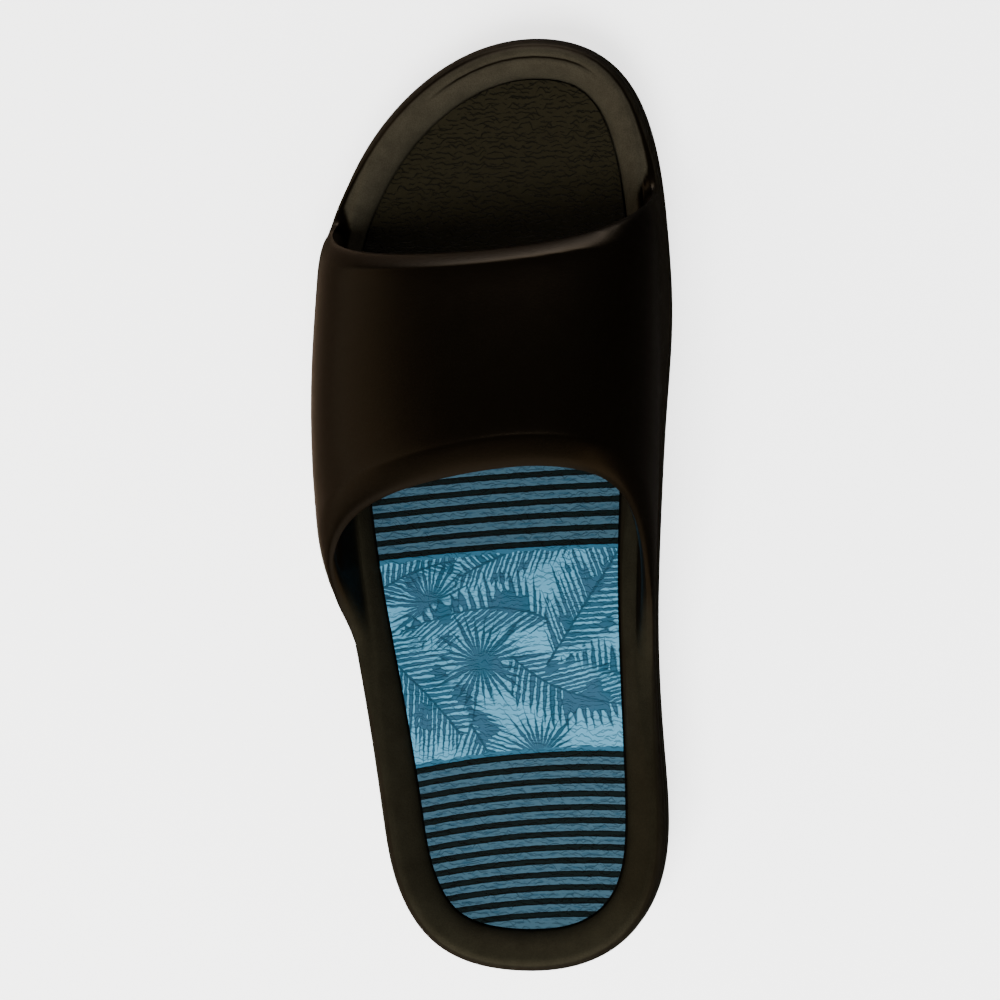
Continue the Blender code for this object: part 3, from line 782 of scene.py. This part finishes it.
# Painted shade in the creases of the crinkled top, darker on bare sheet than on the inks.
crease_shade_cover = bare * CREASE_MORE_BARE + CREASE_SHADE_COVER - leafy * panel * CREASE_LESS_LEAF
crease_shade_colour = blended(bare, CREASE_SHADE_BLUE, CREASE_SHADE_DARK)
feed(blended(crinkle["Crease"] * crease_shade_cover, print_colour, crease_shade_colour), shader.inputs["Base Color"])
feed(bare * BARE_SMOOTHER + INK_ROUGHNESS, shader.inputs["Roughness"])
shader.inputs["Specular IOR Level"].default_value = SHEET_GLOSS
shader.inputs["Specular Tint"].default_value = SHEET_GLOSS_TINT
raised(crinkle["Height"] - bare * INK_HEIGHT, RELIEF_DEPTH, shader)
insole.data.materials.append(printed)
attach(insole, "root")
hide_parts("insole")

# Floor and light. The sandal stands on pale paper. Most light falls from high over the heel, so the
# strap's front edge shades the toe of the sheet, and soft boxes round it give the rubber its gloss.
FLOOR_SIZE = 6.0
FLOOR_BELOW = 0.0002
PAPER_WHITE = (0.92, 0.92, 0.92)
PAPER_ROUGHNESS = 0.9
PAPER_GLOSS = 0.1
PAPER_GLOW = 2.2
MIRRORED_OUTER = (0.31, 0.22, 0.15)
MIRRORED_INNER = (0.04, 0.035, 0.03)
MIRRORED_ACROSS = (-40.0, 40.0)
bpy.ops.object.select_all(action="DESELECT")
bpy.ops.mesh.primitive_plane_add(size=FLOOR_SIZE, location=(0.0, 0.0, -FLOOR_BELOW))
floor = bpy.context.view_layer.objects.active
floor.name = "studio_floor"
paper, tree, shader = new_material("pale_paper")
ray = tree.nodes.new("ShaderNodeLightPath")
mirrored = Reading(ray.outputs["Is Glossy Ray"])
x, _, _ = apart(object_place(tree))
# Seen in gloss, the paper is painted darker, warm on the outer side and nearly black on the inner: a
# painted reflection on the rubber.
painted_reflection_tone = blended(x.step(*MIRRORED_ACROSS), MIRRORED_OUTER, MIRRORED_INNER)
feed(blended(mirrored, PAPER_WHITE, painted_reflection_tone), shader.inputs["Base Color"])
shader.inputs["Roughness"].default_value = PAPER_ROUGHNESS
shader.inputs["Specular IOR Level"].default_value = PAPER_GLOSS
shader.inputs["Emission Color"].default_value = (1.0, 1.0, 1.0, 1.0)
feed(Reading(ray.outputs["Is Camera Ray"]) * PAPER_GLOW, shader.inputs["Emission Strength"])
floor.data.materials.append(paper)

# Each soft box: its place and size in metres, power and tint, whether it shows as gloss, and whether it
# lights the surfaces.
WARM = (1.0, 0.88, 0.70)
WHITE = (1.0, 1.0, 1.0)
LIT_POINT = Vector((0.0, 0.0, 0.03))
SOFT_BOXES = (
    {"name": "outer_side", "place": (-1.40, 0.10, 0.52), "size": (2.2, 1.0), "watts": 19.5,
     "tint": WARM, "gloss": True, "fill": True},
    {"name": "toe_side", "place": (-0.06, 1.50, 0.42), "size": (0.94, 0.8), "watts": 34.0,
     "tint": WHITE, "gloss": True, "fill": False},
    {"name": "inner_side", "place": (1.45, -0.10, 0.60), "size": (2.0, 0.9), "watts": 8.0,
     "tint": WHITE, "gloss": False, "fill": True},
    {"name": "heel_low", "place": (-0.20, -1.40, 0.95), "size": (1.8, 1.9), "watts": 44.0,
     "tint": WHITE, "gloss": True, "fill": True},
    {"name": "heel_inner_shade", "place": (1.10, -1.10, 0.90), "size": (1.0, 1.4), "watts": 20.0,
     "tint": WARM, "gloss": True, "fill": False},
    {"name": "heel_high", "place": (-0.10, -0.60, 1.45), "size": (0.9, 0.5), "watts": 48.0,
     "tint": WHITE, "gloss": False, "fill": True},
)
for box in SOFT_BOXES:
    lamp = bpy.data.lights.new(box["name"], "AREA")
    lamp.shape = "RECTANGLE"
    lamp.size, lamp.size_y = box["size"]
    lamp.energy = box["watts"]
    lamp.color = box["tint"]
    holder = bpy.data.objects.new(box["name"], lamp)
    holder.location = box["place"]
    holder.rotation_euler = (LIT_POINT - holder.location).to_track_quat("-Z", "Y").to_euler()
    holder.visible_glossy = box["gloss"]
    holder.visible_diffuse = box["fill"]
    bpy.context.scene.collection.objects.link(holder)

# The room beyond the paper: pale where the camera sees it, and nearly dark as a light.
ROOM_LIGHT = 0.03
BACKDROP = 0.85
world = bpy.data.worlds.new("studio")
world.use_nodes = True
bpy.context.scene.world = world
sky = world.node_tree.nodes["Background"]
rays = world.node_tree.nodes.new("ShaderNodeLightPath")
seen = Reading(rays.outputs["Is Camera Ray"])
feed(seen * (BACKDROP - ROOM_LIGHT) + ROOM_LIGHT, sky.inputs["Strength"])
sky.inputs["Color"].default_value = (1.0, 1.0, 1.0, 1.0)
